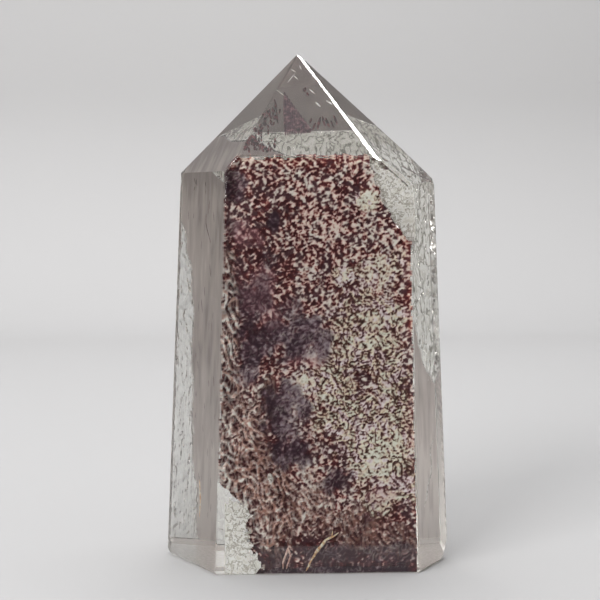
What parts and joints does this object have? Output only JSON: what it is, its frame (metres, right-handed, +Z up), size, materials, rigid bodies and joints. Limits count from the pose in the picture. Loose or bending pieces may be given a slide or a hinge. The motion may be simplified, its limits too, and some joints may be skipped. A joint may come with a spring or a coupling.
{
  "type": "garden quartz point",
  "caption": "Polished hexagonal quartz tower with a flat base, a pointed top, and a mossy mineral garden just behind its broad front face.",
  "frame": {"origin": "middle of the sawn base, at the height that the stone stands on", "axes": "+Z up to the tip, the broad front face with the garden looks along -Y, +X to its right"},
  "size_m": [0.0347, 0.0186, 0.062],
  "materials": {
    "clear_quartz": "polished clear quartz",
    "garden_minerals": "rough mossy minerals sealed in the quartz"
  },
  "bodies": {
    "root": {"quartz_point": "clear_quartz", "garden_inclusion": "garden_minerals"}
  },
  "joints": []
}
